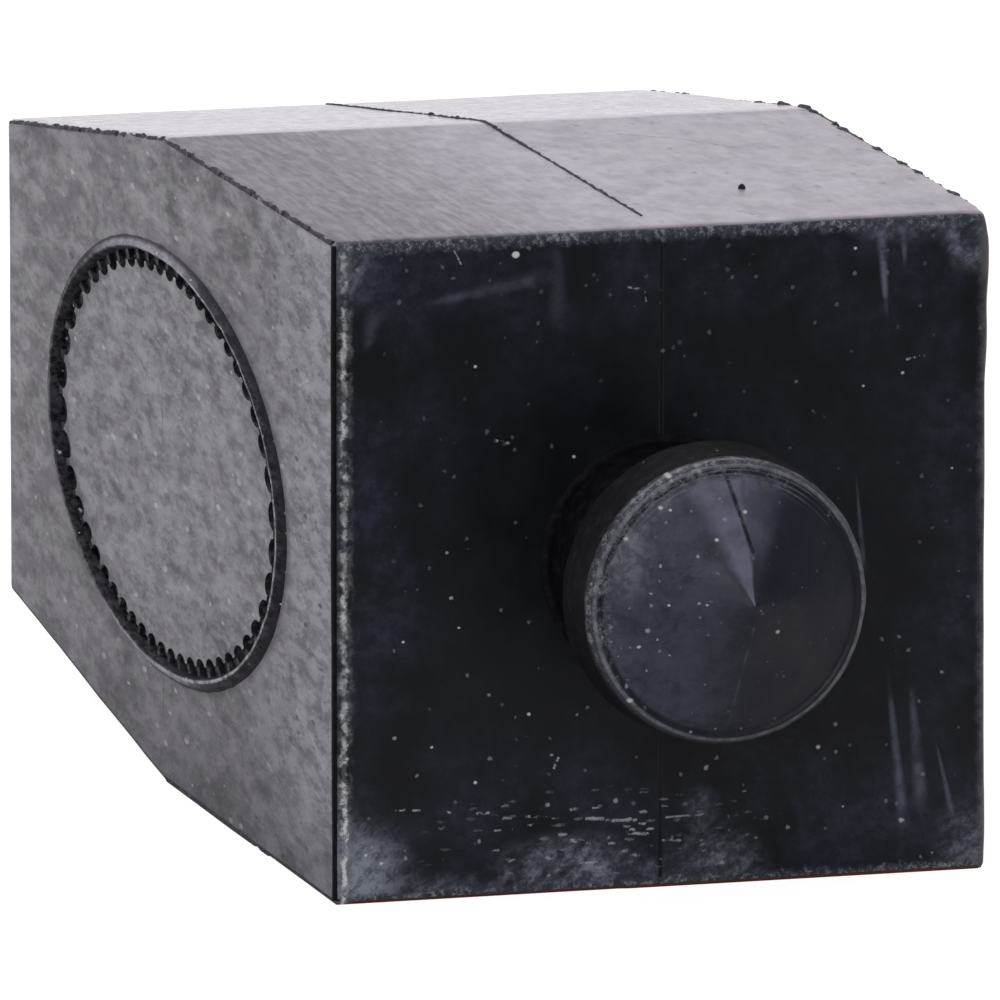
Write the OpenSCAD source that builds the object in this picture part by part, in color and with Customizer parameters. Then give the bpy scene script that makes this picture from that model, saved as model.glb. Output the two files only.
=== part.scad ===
// Rubber stop buffer: a moulded block with a wedge-shaped striking end and a snap-in plug on its mounting end.
// The origin is the centre of the mounting face. The plug points along -Y, the block runs along +Y, +Z is up.

/* [Block] */
// Width of the mounting end, from side face to side face
front_w = 60; // [50:0.5:80]
// Width of the striking end, which flares a little
back_w = 61.8; // [50:0.5:80]
// Height of the mounting end and of the whole straight part
front_h = 59.4; // [48:0.2:80]
// Height of the striking end
back_h = 44.6; // [35:0.2:60]
// Length of the straight part, from the mounting face to the bend
straight_l = 57; // [45:0.5:90]
// Length of the tapered part, from the bend to the striking face
taper_l = 55; // [44:0.5:90]
// Radius of the edges round the end faces and along the sides
edge_r = 0.6; // [0.4:0.1:2]
// Radius across the bend where the taper starts
bend_r = 15; // [5:1:40]

/* [Plug] */
// Diameter of the neck that fills the hole in the carrier plate
neck_d = 20.8; // [16:0.2:30]
// Length of the neck, from the mounting face to the start of the flare
neck_l = 11.4; // [6:0.2:20]
// Radius in the corner between the neck and the mounting face
root_r = 0.7; // [0.3:0.1:2]
// Overhang of the widest part of the head beyond the neck
head_overhang = 2.8; // [1:0.1:5]
// Length of the flare behind the head
flare_l = 3.6; // [2:0.1:8]
// Length of the slightly drawn-in side of the head
head_side_l = 4.8; // [2:0.1:10]
// How much the head draws in from its widest part to its rim
head_draft = 0.4; // [0:0.1:1]
// Height of the rounded shoulder between the rim and the lip ring
shoulder_l = 1.7; // [1:0.1:4]
// Width of the rounded shoulder, measured across the plug
shoulder_w = 0.9; // [0.5:0.1:2]
// Width and depth of the fine groove inside the lip ring
lip_groove = 0.4; // [0.2:0.05:0.8]
// Height of the shallow lead-in cone
cone_l = 5.2; // [3:0.1:12]
// Radius of the blunt tip of the cone
tip_r = 1.1; // [0.5:0.1:3]

/* [Oval frame] */
// Distance of the centre of the frame from the mounting face
frame_y = 56; // [42:0.5:72]
// Half length of the crest of the bead, along the block
bead_a = 39.2; // [25:0.1:40]
// Half height of the crest of the bead
bead_b = 18.9; // [12:0.1:22]
// Width of the outer slope of the bead, above and below the oval
bead_out = 0.9; // [0.5:0.1:2]
// Width of the steeper inner slope of the bead, above and below the oval
bead_in = 0.5; // [0.3:0.1:1.5]
// Height of the bead above the side face
bead_h = 0.6; // [0.3:0.05:1]
// Width of the groove inside the bead, above and below the oval
channel_w = 0.8; // [0.4:0.1:3]
// Depth of the groove over the ribs that cross it
channel_d = 0.2; // [0.1:0.05:0.5]
// Number of pits in the groove
pit_count = 52; // [30:1:80]
// Depth of the pits below the side face
pit_d = 0.7; // [0.5:0.05:1.2]
// How far the rounded inner ends of the pits reach past the groove
pit_l = 0.7; // [0.3:0.1:1.5]
// Share of the way round that the ribs between the pits take up
rib_share = 0.2; // [0.1:0.05:0.5]

/* [Parting line] */
// Width of the thin flash left along the middle of the top
flash_w = 0.5; // [0.3:0.1:1]
// Height of the flash above the top
flash_h = 0.25; // [0.1:0.05:0.5]

/* [Hidden] */
rubber = [0.13, 0.13, 0.15];
block_l = straight_l + taper_l;
neck_r = neck_d / 2;
head_r = neck_r + head_overhang;
rim_r = head_r - head_draft;
lip_r = rim_r - shoulder_w;
flare_end = neck_l + flare_l;
rim_l = flare_end + head_side_l;
lip_l = rim_l + shoulder_l;
// Steps in the quarter rounds of the block, in the bend and in the rounds of the plug
edge_steps = 4;
bend_steps = 3;
round_steps = 6;
// Points round the bead and across it
bead_points = 96;
bead_steps = 7;
// How far the foot of the bead reaches into the block, past the floor of the pits
bead_foot = pit_d + 0.4;
// Steps across each pit of the oval frame
pit_steps = 6;
// How far one form reaches into or past another
overlap_l = 2;
// Angle between each side face and the length of the block
side_turn = atan((back_w - front_w) / 2 / block_l);

function unit(v) = v / norm(v);

// Half the width of the block at a distance from the mounting face
function half_width(y) = (front_w + (back_w - front_w) * y / block_l) / 2;

// Half the height of the block on its taper, at a distance from the mounting face
function half_height(y) = (front_h + (back_h - front_h) * (y - straight_l) / taper_l) / 2;

// The arc of radius r that rounds corner p of an outline, between its neighbours before and after
function corner_arc(before, p, after, r, steps) =
    let (u = unit(before - p))
    let (v = unit(after - p))
    let (half = acos(u * v) / 2)
    let (middle = p + unit(u + v) * r / sin(half))
    let (start = p + u * r / tan(half) - middle)
    let (turn = (180 - 2 * half) * sign(cross(v, u)))
    [for (k = [0:steps]) let (a = turn * k / steps)
        middle + [start.x * cos(a) - start.y * sin(a), start.x * sin(a) + start.y * cos(a)]];

// An outline with each corner rounded to its own radius, in its own number of steps
function rounded(points, radii, steps) =
    let (n = len(points))
    [for (i = [0:n - 1])
        each corner_arc(points[(i + n - 1) % n], points[i], points[(i + 1) % n], radii[i], steps[i])];

// Side view of the block, as distance from the mounting face and height
side_outline = rounded(
    [[0, -front_h / 2], [straight_l, -front_h / 2], [block_l, -back_h / 2],
     [block_l, back_h / 2], [straight_l, front_h / 2], [0, front_h / 2]],
    [edge_r, bend_r, edge_r, edge_r, bend_r, edge_r],
    [edge_steps, bend_steps, edge_steps, edge_steps, bend_steps, edge_steps]);

// Plan view of the block
plan_outline = rounded(
    [[-front_w / 2, 0], [front_w / 2, 0], [back_w / 2, block_l], [-back_w / 2, block_l]],
    [edge_r, edge_r, edge_r, edge_r],
    [edge_steps, edge_steps, edge_steps, edge_steps]);

// What is cut off a square edge to round it. The edge is at [0, 0], with the rubber below and to the left.
edge_arc = [for (k = [0:edge_steps]) let (a = 90 - 90 * k / edge_steps)
    [edge_r * (cos(a) - 1), edge_r * (sin(a) - 1)]];
edge_offcut = concat(
    [[overlap_l, overlap_l]],
    [edge_arc[0] + unit(edge_arc[0] - edge_arc[1]) * overlap_l],
    edge_arc,
    [edge_arc[edge_steps] + unit(edge_arc[edge_steps] - edge_arc[edge_steps - 1]) * overlap_l]);

// Cuts the round along one edge, from one end to the other
module edge_round(from, to) {
    run = to - from;
    dip = atan2(run.z, norm([run.x, run.y]));
    turn = -atan2(run.x, run.y);
    translate(from)
        rotate([dip, 0, turn])
            rotate([90, 0, 180])
                translate([0, 0, -overlap_l])
                    linear_extrude(height = norm(run) + 2 * overlap_l)
                        mirror([1, 0, 0])
                            polygon(edge_offcut);
}

// The four long edges, each rounded along the straight part and along the taper
module long_edge_rounds() {
    front_corner = [half_width(0), 0, front_h / 2];
    bend_corner = [half_width(straight_l), straight_l, front_h / 2];
    back_corner = [half_width(block_l), block_l, back_h / 2];
    for (side = [0, 1]) mirror([side, 0, 0])
        for (face = [0, 1]) mirror([0, 0, face]) {
            edge_round(front_corner, bend_corner);
            edge_round(bend_corner, back_corner);
        }
}

module block() {
    difference() {
        intersection() {
            rotate([90, 0, 90])
                linear_extrude(height = 2 * max(front_w, back_w), center = true)
                    polygon(side_outline);
            linear_extrude(height = 2 * max(front_h, back_h), center = true)
                polygon(plan_outline);
        }
        long_edge_rounds();
    }
}

// Half section of the plug: distance from its axis, and distance from the mounting face
root_arc = [for (k = [0:round_steps]) let (a = 270 - 90 * k / round_steps)
    [neck_r + root_r + root_r * cos(a), root_r + root_r * sin(a)]];
shoulder_arc = [for (k = [0:round_steps]) let (a = 90 * k / round_steps)
    [lip_r + shoulder_w * cos(a), rim_l + shoulder_l * sin(a)]];
cone_slope = atan(cone_l / lip_r);
tip_arc = [for (k = [0:round_steps]) let (a = cone_slope * (1 - k / (round_steps + 1)))
    [tip_r * sin(a), lip_l + cone_l - tip_r * (1 / cos(cone_slope) - cos(a))]];
plug_section = concat(
    [[0, -overlap_l], [neck_r + root_r, -overlap_l]],
    root_arc,
    [[neck_r, neck_l], [head_r, flare_end]],
    shoulder_arc,
    [[lip_r - lip_groove, lip_l - lip_groove], [lip_r - 2 * lip_groove, lip_l + lip_groove]],
    tip_arc,
    [[0, tip_arc[round_steps].y]]);

module plug() {
    rotate([90, 0, 0])
        rotate_extrude($fn = 96)
            polygon(plug_section);
}

// Puts a form, drawn flat with its height outwards, on the left side face
module on_left_face(y) {
    translate([-half_width(y), y, 0])
        rotate([0, 0, side_turn])
            rotate([90, 0, -90])
                children();
}

// The oval is a circle drawn out along the block, so its bead and its groove are wider at the two ends.
function oval_point(radius, t) = [radius * cos(t) * bead_a / bead_b, radius * sin(t)];

// A bead that follows the crest oval, with a round crest. Its slopes run on just below the side face.
module bead() {
    section = concat(
        [for (k = [0:bead_steps]) let (a = 180 * (k - 0.5) / (bead_steps - 1))
            [cos(a) * (cos(a) > 0 ? bead_out : bead_in), bead_h * sin(a)]],
        [[-bead_in, -bead_foot], [bead_out, -bead_foot]]);
    m = len(section);
    points = [for (i = [0:bead_points - 1])
        for (s = section) concat(oval_point(bead_b + s.x, 360 * i / bead_points), s.y)];
    faces = [for (i = [0:bead_points - 1]) let (j = (i + 1) % bead_points)
        for (k = [0:m - 1]) let (l = (k + 1) % m)
        [i * m + k, i * m + l, j * m + l, j * m + k]];
    polyhedron(points, faces, convexity = 4);
}

// Outer edge of the groove, which lies under the bead, and its inner edge
channel_outer = bead_b - bead_in / 2;
channel_inner = bead_b - bead_in - channel_w;
// Distance travelled round the inner edge at each degree, so that the pits can be spaced evenly
travel = [for (t = 0, s = 0; t <= 360;
    s = s + norm(oval_point(channel_inner, t + 1) - oval_point(channel_inner, t)), t = t + 1) [s, t]];
travel_length = travel[360][0];

// The shallow groove inside the bead
module channel() {
    translate([0, 0, -channel_d])
        linear_extrude(height = channel_d + overlap_l)
            difference() {
                polygon([for (i = [0:bead_points - 1]) oval_point(channel_outer, 360 * i / bead_points)]);
                polygon([for (i = [0:bead_points - 1]) oval_point(channel_inner, 360 * i / bead_points)]);
            }
}

// The pits in the floor of the groove, with a rib left between each and the next
module pits() {
    translate([0, 0, -pit_d])
        linear_extrude(height = pit_d + overlap_l)
            for (i = [0:pit_count - 1]) {
                from = i + rib_share / 2;
                turns = [for (k = [0:pit_steps]) let (share = from + (1 - rib_share) * k / pit_steps)
                    lookup(travel_length * share / pit_count, travel)];
                polygon(concat(
                    [for (k = [0:pit_steps]) oval_point(channel_outer, turns[k])],
                    [for (k = [0:pit_steps]) let (bite = pit_l * sin(180 * k / pit_steps))
                        oval_point(channel_inner - bite, turns[pit_steps - k])]));
            }
}

// Thin flash along the middle of the top, where the two halves of the mould met
module parting_flash() {
    flash_end = block_l - edge_r;
    rotate([90, 0, 90])
        linear_extrude(height = flash_w, center = true)
            polygon([
                [edge_r, front_h / 2 - overlap_l],
                [edge_r, front_h / 2],
                [edge_r + flash_h, front_h / 2 + flash_h],
                [straight_l, front_h / 2 + flash_h],
                [flash_end - flash_h, half_height(flash_end - flash_h) + flash_h],
                [flash_end, half_height(flash_end)],
                [flash_end, half_height(flash_end) - overlap_l],
                [straight_l, front_h / 2 - overlap_l]]);
}

module rubber_buffer() color(rubber) {
    difference() {
        union() {
            block();
            plug();
            parting_flash();
        }
        on_left_face(frame_y) channel();
        on_left_face(frame_y) pits();
    }
    on_left_face(frame_y) bead();
}

rubber_buffer();
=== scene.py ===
import bpy
import random
from math import atan, cos, hypot, pi, radians, sin
from mathutils import Euler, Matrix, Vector


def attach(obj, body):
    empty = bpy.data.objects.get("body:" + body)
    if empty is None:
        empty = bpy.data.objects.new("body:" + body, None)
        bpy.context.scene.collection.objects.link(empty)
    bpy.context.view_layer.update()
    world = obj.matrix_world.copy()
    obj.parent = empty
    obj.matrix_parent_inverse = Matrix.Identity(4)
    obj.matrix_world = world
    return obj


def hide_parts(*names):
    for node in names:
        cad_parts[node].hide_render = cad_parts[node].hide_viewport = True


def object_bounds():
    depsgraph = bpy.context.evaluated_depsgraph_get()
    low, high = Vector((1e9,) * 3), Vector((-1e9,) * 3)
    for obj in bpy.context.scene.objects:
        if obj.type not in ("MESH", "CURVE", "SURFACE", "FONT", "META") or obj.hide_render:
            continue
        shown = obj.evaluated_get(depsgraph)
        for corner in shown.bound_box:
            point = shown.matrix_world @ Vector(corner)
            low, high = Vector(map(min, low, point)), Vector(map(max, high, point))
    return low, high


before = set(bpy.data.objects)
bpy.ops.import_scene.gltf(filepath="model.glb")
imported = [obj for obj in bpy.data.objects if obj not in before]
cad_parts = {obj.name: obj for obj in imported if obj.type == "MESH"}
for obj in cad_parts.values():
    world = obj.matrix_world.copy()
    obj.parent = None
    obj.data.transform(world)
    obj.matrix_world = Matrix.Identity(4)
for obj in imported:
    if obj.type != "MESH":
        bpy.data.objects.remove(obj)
cad_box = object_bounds()
bpy.ops.object.select_all(action='DESELECT')
bpy.context.scene.view_settings.view_transform = 'Standard'

MM = 0.001

# ---- sizes of the buffer, in millimetres, in the frame's own axes ------------------------------------------
# block: mounting end, far end, length to the bend and in all, edge radii
FRONT_W = 60.0
BACK_W = 61.8
FRONT_H = 59.4
BACK_H = 44.6
STRAIGHT_L = 57.0
BLOCK_L = 112.0
EDGE_R = 0.6
BEND_R = 1.0

# oval frame: middle, half length and half height, bead, groove, pits with the share of each that its rib takes
OVAL_Y = 56.0
OVAL_A = 39.2
OVAL_B = 18.9
BEAD_OUT = 0.9
BEAD_IN = 0.5
BEAD_H = 0.6
CHANNEL_OUTER = OVAL_B - BEAD_IN / 2
CHANNEL_INNER = 17.6
CHANNEL_D = 0.2
PIT_COUNT = 52
PIT_D = 0.7
PIT_L = 0.7
RIB_SHARE = 0.2
# height of the cutters above the side face, steps round the oval
CUTTER_H = 1.5
OVAL_STEPS = 208

# plug: neck and its fillet, lead-in cone, and its tip, from the mounting face
NECK_R = 10.4
FILLET_R = 0.7
CONE_R = 11.15
CONE_FOOT = 21.5
PLUG_L = 26.5

# slots of the block's materials
FRONT, SIDE, TOP, EDGE, GROOVE, SHADE = range(6)


# ---- camera, floor, light ----------------------------------------------------------------------------------
CAMERA_AT = (-0.4808, -1.6618, 0.3347)
CAMERA_YAW = 15.666
CAMERA_PITCH = 10.784
CAMERA_LENS = 719.0


def set_camera():
    bpy.ops.object.camera_add(location=CAMERA_AT)
    camera = bpy.context.object
    camera.name = "camera"
    camera.rotation_euler = Euler((radians(90 - CAMERA_PITCH), 0, radians(-CAMERA_YAW)))
    camera.data.lens = CAMERA_LENS
    camera.data.sensor_width = 36
    camera.data.clip_start = 0.1
    camera.data.clip_end = 60
    bpy.context.scene.camera = camera


# ---- a small kit for materials -----------------------------------------------------------------------------
class Finish:
    """A material with one rubber shader. Places in it are in millimetres, in the frame's own axes."""

    def __init__(self, name, roughness, specular=0.5):
        self.material = bpy.data.materials.new(name)
        self.material.use_nodes = True
        self.tree = self.material.node_tree
        self.shader = self.tree.nodes["Principled BSDF"]
        self.shader.inputs["IOR"].default_value = 1.5
        self.shader.inputs["Specular IOR Level"].default_value = specular
        self.shader.inputs["Roughness"].default_value = roughness
        place = self.node("ShaderNodeTexCoord").outputs["Object"]
        self.place = self.vector("SCALE", place, scale=1 / MM)
        split = self.node("ShaderNodeSeparateXYZ")
        self.join(self.place, split.inputs[0])
        self.x, self.y, self.z = split.outputs
        # the same places looked at along the block, and from above
        self.from_front = self.vector("MULTIPLY", self.place, (1, 0, 1))
        self.from_above = self.vector("MULTIPLY", self.place, (1, 1, 0))
        self.coats = (0, 0, 0)

    def node(self, kind, **settings):
        made = self.tree.nodes.new(kind)
        for key, value in settings.items():
            setattr(made, key, value)
        return made

    def join(self, value, socket):
        if isinstance(value, (int, float)):
            socket.default_value = value
        elif isinstance(value, (tuple, list)):
            if len(socket.default_value) == 4 and len(value) == 3:
                value = (*value, 1)
            socket.default_value = value
        else:
            self.tree.links.new(value, socket)

    def math(self, operation, a, b=0.0, c=0.0):
        made = self.node("ShaderNodeMath", operation=operation)
        for value, socket in zip((a, b, c), made.inputs):
            self.join(value, socket)
        return made.outputs[0]

    def vector(self, operation, a, b=(0, 0, 0), scale=1.0):
        made = self.node("ShaderNodeVectorMath", operation=operation)
        self.join(a, made.inputs[0])
        if operation == "SCALE":
            self.join(scale, made.inputs["Scale"])
        else:
            self.join(b, made.inputs[1])
        return made.outputs["Value" if operation in ("DOT_PRODUCT", "LENGTH") else "Vector"]

    def fade(self, value, start, end, low=0.0, high=1.0):
        """Goes smoothly from low to high as value goes from start to end."""
        made = self.node("ShaderNodeMapRange", interpolation_type="SMOOTHSTEP")
        for item, socket in zip((value, start, end, low, high), made.inputs):
            self.join(item, socket)
        return made.outputs[0]

    def lift(self, mask, least):
        """The mask, raised so that it is nowhere under its least value."""
        return self.fade(mask, 0, 1, least, 1)

    def both(self, *masks):
        """Where all the masks are."""
        result = masks[0]
        for mask in masks[1:]:
            result = self.math("MULTIPLY", result, mask)
        return result

    def either(self, *masks):
        """Where any of the masks is."""
        result = masks[0]
        for mask in masks[1:]:
            result = self.math("MAXIMUM", result, mask)
        return result

    def cloud(self, size, detail=4.0, roughness=0.55, stretch=(1, 1, 1), seed=0.0):
        """Soft noise with features of about size millimetres, stretched along an axis by a factor."""
        return self.noise(self.vector("DIVIDE", self.place, stretch), size, detail, roughness, seed)

    def noise(self, spot, size, detail, roughness, seed):
        made = self.node("ShaderNodeTexNoise")
        self.join(self.vector("ADD", spot, (seed * 37.1, seed * 17.3, seed * 29.9)), made.inputs["Vector"])
        made.inputs["Scale"].default_value = 1 / size
        made.inputs["Detail"].default_value = detail
        made.inputs["Roughness"].default_value = roughness
        return made.outputs["Fac"]

    def slanted(self, size, stretch, turn, seed=0.0):
        """Noise drawn out along lines that run across and up the mounting face at turn degrees."""
        made = self.node("ShaderNodeVectorRotate", rotation_type="Y_AXIS")
        self.join(self.place, made.inputs["Vector"])
        made.inputs["Angle"].default_value = radians(turn)
        return self.noise(self.vector("MULTIPLY", made.outputs[0], (1 / stretch, 1, 1)), size, 4, 0.65, seed)

    def specks(self, spacing, radius, share, seed=0.0, place=None):
        """Scattered round specks: a cell every spacing millimetres, of which only a share holds one."""
        wobble = self.node("ShaderNodeTexNoise")
        self.join(self.place, wobble.inputs["Vector"])
        wobble.inputs["Scale"].default_value = 3.0
        push = self.vector("SCALE", wobble.outputs["Color"], scale=0.35)
        spot = self.vector("ADD", place or self.place, push)
        spot = self.vector("ADD", spot, (seed * 31.7, seed * 11.9, seed * 23.3))
        cells = self.node("ShaderNodeTexVoronoi")
        self.join(spot, cells.inputs["Vector"])
        cells.inputs["Scale"].default_value = 1 / spacing
        chance = self.node("ShaderNodeSeparateColor")
        self.join(cells.outputs["Color"], chance.inputs[0])
        reach = self.math("MULTIPLY", chance.outputs[1], radius / spacing)
        near = self.fade(cells.outputs["Distance"], self.math("ADD", reach, 0.02), self.math("MULTIPLY", reach, 0.5))
        kept = self.math("GREATER_THAN", chance.outputs[0], 1 - share)
        return self.both(near, kept, self.lift(chance.outputs[2], 0.3))

    def stroke(self, start, end, width, seen=None, soft=False):
        """A straight scratch, or a soft wipe, between two places, of a width in millimetres."""
        run = Vector(end) - Vector(start)
        reach = self.vector("SUBTRACT", seen or self.from_front, start)
        along = self.math("DIVIDE", self.vector("DOT_PRODUCT", reach, tuple(run)), run.length_squared)
        held = self.math("MINIMUM", self.math("MAXIMUM", along, 0.0), 1.0)
        foot = self.vector("SCALE", tuple(run), scale=held)
        gap = self.vector("LENGTH", self.vector("SUBTRACT", reach, foot))
        if not soft:
            return self.fade(gap, width * 0.5, width * 0.15)
        # a wipe grows wider along its way and fades at both ends
        broad = self.math("MULTIPLY_ADD", held, width * 0.35, width * 0.15)
        body = self.fade(self.math("DIVIDE", gap, broad), 1, 0)
        return self.both(body, self.fade(along, 0, 0.3), self.fade(along, 1, 0.75))

    def patch(self, centre, reach, edge=0.3):
        """A soft oval patch that reaches so far along each axis."""
        gap = self.vector("LENGTH", self.vector("DIVIDE", self.vector("SUBTRACT", self.place, centre), reach))
        return self.fade(gap, 1.0, edge)

    def oval_reach(self):
        """Distance from the middle of the oval frame, squeezed so that the frame is a circle of OVAL_B."""
        out = self.vector("SUBTRACT", self.place, (0, OVAL_Y, 0))
        return self.vector("LENGTH", self.vector("MULTIPLY", out, (0, OVAL_B / OVAL_A, 1)))

    def tint(self, under, over, mask):
        """Colour under, turned to colour over where the mask is."""
        made = self.node("ShaderNodeMix", data_type="RGBA")
        self.join(mask, made.inputs[0])
        self.join(under, made.inputs[6])
        self.join(over, made.inputs[7])
        return made.outputs[2]

    def relief(self, height, depth):
        """Raises the surface by depth millimetres where height is one."""
        made = self.node("ShaderNodeBump")
        made.inputs["Distance"].default_value = depth * MM
        self.join(height, made.inputs["Height"])
        before = self.shader.inputs["Normal"]
        if before.is_linked:
            self.join(before.links[0].from_socket, made.inputs["Normal"])
        self.join(made.outputs[0], before)

    def coat(self, colour, *masks):
        """Lays a colour over what is there, where all the masks are, or all over."""
        self.coats = self.tint(self.coats, colour, self.both(*masks)) if masks else colour
        self.join(self.coats, self.shader.inputs["Base Color"])

    def gloss(self, value):
        self.join(value, self.shader.inputs["Roughness"])


def fresh_nodes(owner):
    """Empties the nodes of a material or the world, and gives a function that adds a node with its inputs."""
    owner.use_nodes = True
    owner.node_tree.nodes.clear()

    def add(kind, *inputs):
        made = owner.node_tree.nodes.new(kind)
        for value, socket in zip(inputs, made.inputs):
            if isinstance(value, bpy.types.NodeSocket):
                owner.node_tree.links.new(value, socket)
            else:
                socket.default_value = value
        return made.outputs
    return add


def set_floor():
    """A pale floor, which looks white and gives a dim reflection in front of the buffer."""
    bpy.ops.mesh.primitive_plane_add(size=16, location=(0, 0, cad_box[0][2]))
    floor = bpy.context.object
    floor.name = "floor"
    material = bpy.data.materials.new("pale floor")
    floor.data.materials.append(material)
    add = fresh_nodes(material)
    y = add("ShaderNodeSeparateXYZ", add("ShaderNodeTexCoord")["Object"])["Y"]
    white = add("ShaderNodeEmission", (1, 1, 1, 1), 0.93)[0]
    matt = add("ShaderNodeBsdfDiffuse", (0.25, 0.25, 0.25, 1))[0]
    shown = add("ShaderNodeAddShader", white, matt)[0]
    # the floor in front of the buffer stays dim in its reflections, as before a dark curtain
    lit = add("ShaderNodeBsdfDiffuse", add("ShaderNodeMapRange", y, -0.12, 0.02, 0.25, 0.85)[0])[0]
    # far behind the buffer it is as bright as the wall it runs into
    glow = add("ShaderNodeEmission", (1, 1, 1, 1), add("ShaderNodeMapRange", y, 0.05, 0.5, 0.0, 0.5)[0])[0]
    bounce = add("ShaderNodeAddShader", lit, glow)[0]
    to_camera = add("ShaderNodeLightPath")["Is Camera Ray"]
    add("ShaderNodeOutputMaterial", add("ShaderNodeMixShader", to_camera, bounce, shown)[0])


def set_room():
    """A white room whose near side is dim, so that the front of the buffer lies in shade."""
    world = bpy.data.worlds.new("white room")
    bpy.context.scene.world = world
    add = fresh_nodes(world)
    y = add("ShaderNodeSeparateXYZ", add("ShaderNodeTexCoord")["Generated"])["Y"]
    depth = add("ShaderNodeMapRange", y, -0.5, 0.35, 0.14, 1.0)[0]
    walls = add("ShaderNodeBackground", (1.0, 0.975, 1.05, 1), depth)[0]
    white = add("ShaderNodeBackground", (1, 1, 1, 1))[0]
    to_camera = add("ShaderNodeLightPath")["Is Camera Ray"]
    add("ShaderNodeOutputWorld", add("ShaderNodeMixShader", to_camera, walls, white)[0])


def set_lamp(name, place, aim, size, power, tint=(1, 1, 1)):
    bpy.ops.object.light_add(type='AREA', location=place)
    lamp = bpy.context.object
    lamp.name = name
    lamp.data.size = size
    lamp.data.energy = power
    lamp.data.color = tint
    lamp.rotation_euler = (Vector(aim) - Vector(place)).to_track_quat('-Z', 'Y').to_euler()


# ---- modelling helpers -------------------------------------------------------------------------------------
def pick(piece, mode, wanted):
    """In edit mode, selects only the vertices, edges or faces for which wanted(part) holds."""
    bpy.ops.object.mode_set(mode='EDIT')
    bpy.ops.mesh.select_mode(type=mode)
    bpy.ops.mesh.select_all(action='DESELECT')
    bpy.ops.object.mode_set(mode='OBJECT')
    parts = {'VERT': piece.data.vertices, 'EDGE': piece.data.edges, 'FACE': piece.data.polygons}[mode]
    for part in parts:
        part.select = bool(wanted(part))
    bpy.ops.object.mode_set(mode='EDIT')


def near(value, target, slack=0.01):
    return abs(value / MM - target) < slack


def ends(piece, edge):
    return [piece.data.vertices[i].co for i in edge.vertices]


def split_long_edges(piece, longest, wanted=lambda place: True):
    """Halves every edge longer than longest millimetres, where wanted(place) holds, until none is left."""
    while True:
        pick(piece, 'EDGE', lambda e: (ends(piece, e)[0] - ends(piece, e)[1]).length > longest * MM
             and all(wanted(place) for place in ends(piece, e)))
        bpy.ops.object.mode_set(mode='OBJECT')
        count = sum(e.select for e in piece.data.edges)
        bpy.ops.object.mode_set(mode='EDIT')
        if not count:
            break
        bpy.ops.mesh.subdivide(number_cuts=1)
    bpy.ops.object.mode_set(mode='OBJECT')


def group(piece, name, wanted):
    """A vertex group of the vertices for which wanted(vertex) holds."""
    pick(piece, 'VERT', wanted)
    made = piece.vertex_groups.new(name=name)
    bpy.ops.object.vertex_group_assign()
    bpy.ops.object.mode_set(mode='OBJECT')
    return made.name


def press_noise(piece, name, size, depth, only="", direction='NORMAL'):
    """Moves the surface to and fro by up to half of depth millimetres, with bumps of size millimetres."""
    pattern = bpy.data.textures.new(name, 'CLOUDS')
    pattern.noise_scale = size * MM
    pattern.noise_depth = 3
    change = piece.modifiers.new(name, 'DISPLACE')
    change.texture = pattern
    change.texture_coords = 'LOCAL'
    change.strength = depth * MM
    change.direction = direction
    if only:
        change.vertex_group = only
    bpy.context.view_layer.objects.active = piece
    bpy.ops.object.modifier_apply(modifier=name)


def cut(piece, cutter):
    """Cuts the form of cutter out of the piece and throws the cutter away."""
    change = piece.modifiers.new("cut", 'BOOLEAN')
    change.operation = 'DIFFERENCE'
    change.solver = 'EXACT'
    change.object = cutter
    solo(piece)
    bpy.ops.object.modifier_apply(modifier="cut")
    bpy.data.objects.remove(cutter)


def solo(piece):
    bpy.ops.object.select_all(action='DESELECT')
    piece.select_set(True)
    bpy.context.view_layer.objects.active = piece


def set_down(piece):
    """Puts the piece's place, turn and size into its mesh."""
    solo(piece)
    bpy.ops.object.transform_apply(location=True, rotation=True, scale=True)


def settle(piece, smooth=35):
    set_down(piece)
    bpy.ops.object.shade_smooth_by_angle(angle=radians(smooth))


def join_all(name, parts):
    solo(parts[0])
    for part in parts:
        part.select_set(True)
    bpy.ops.object.join()
    bpy.context.object.name = name
    return bpy.context.object


def finish_piece(piece, *finishes):
    """Hangs the piece on the buffer and gives it its materials."""
    for finish in finishes:
        piece.data.materials.append(finish.material)
    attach(piece, "root")


def paint(piece, slot, wanted):
    """Gives the faces for which wanted(face) holds the material in a slot."""
    pick(piece, 'FACE', wanted)
    piece.active_material_index = slot
    bpy.ops.object.material_slot_assign()
    bpy.ops.object.mode_set(mode='OBJECT')


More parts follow.
